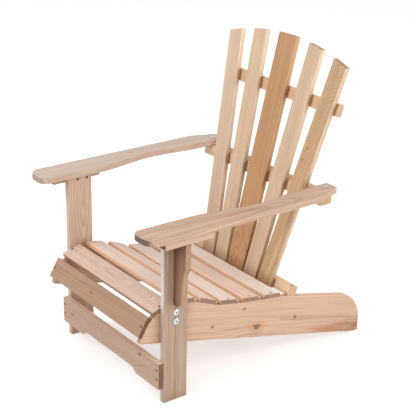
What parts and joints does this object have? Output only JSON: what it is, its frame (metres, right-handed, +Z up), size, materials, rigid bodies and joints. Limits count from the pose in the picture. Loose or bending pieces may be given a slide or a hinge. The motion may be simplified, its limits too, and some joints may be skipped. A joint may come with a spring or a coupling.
{
  "type": "wooden garden armchair",
  "caption": "Low reclined garden armchair of flat softwood boards, with a fanned slat back, broad level arms and a sloping slatted seat.",
  "frame": {"origin": "on the ground, centred under the chair's own bounding box", "axes": "+Z up, the chair faces -Y, +X towards the left hand of someone sitting in it"},
  "size_m": [0.698, 0.921, 1.0003],
  "materials": {
    "seat_wood": "planed untreated softwood, pale pinkish",
    "frame_wood": "planed untreated softwood, greyish tan",
    "arm_wood": "planed and sanded softwood with eased edges",
    "back_wood": "planed untreated softwood, straw yellow",
    "back_wood_dark": "planed heartwood, orange brown",
    "zinc": "bright zinc plated",
    "yellow_zinc": "yellow chromated"
  },
  "bodies": {
    "root": {"stringer_left": "seat_wood", "stringer_right": "seat_wood", "seat_slat_1": "seat_wood", "seat_slat_2": "seat_wood", "seat_slat_3": "seat_wood", "seat_slat_4": "seat_wood", "seat_slat_5": "seat_wood", "seat_slat_6": "seat_wood", "seat_slat_7": "seat_wood", "front_leg_left": "frame_wood", "front_leg_right": "frame_wood", "front_stretcher": "frame_wood", "arm_left": "arm_wood", "arm_right": "arm_wood", "arm_cleat_left": "frame_wood", "arm_cleat_right": "frame_wood", "arm_bracket_left": "frame_wood", "arm_bracket_right": "frame_wood", "back_slat_1": "back_wood", "back_slat_2": "back_wood", "back_slat_3": "back_wood_dark", "back_slat_4": "back_wood", "back_slat_5": "back_wood", "back_rail_top": "back_wood", "back_rail_middle": "back_wood", "back_rail_bottom": "back_wood", "leg_bolts": "zinc", "leg_tee_nuts": "zinc", "arm_bolts": "zinc", "arm_tee_nuts": "zinc", "rail_screws": "yellow_zinc", "stretcher_screws": "yellow_zinc", "leg_top_screws": "yellow_zinc", "seat_screws": "yellow_zinc", "back_screws": "yellow_zinc", "cleat_screws": "yellow_zinc", "bracket_screws": "yellow_zinc"}
  },
  "joints": []
}
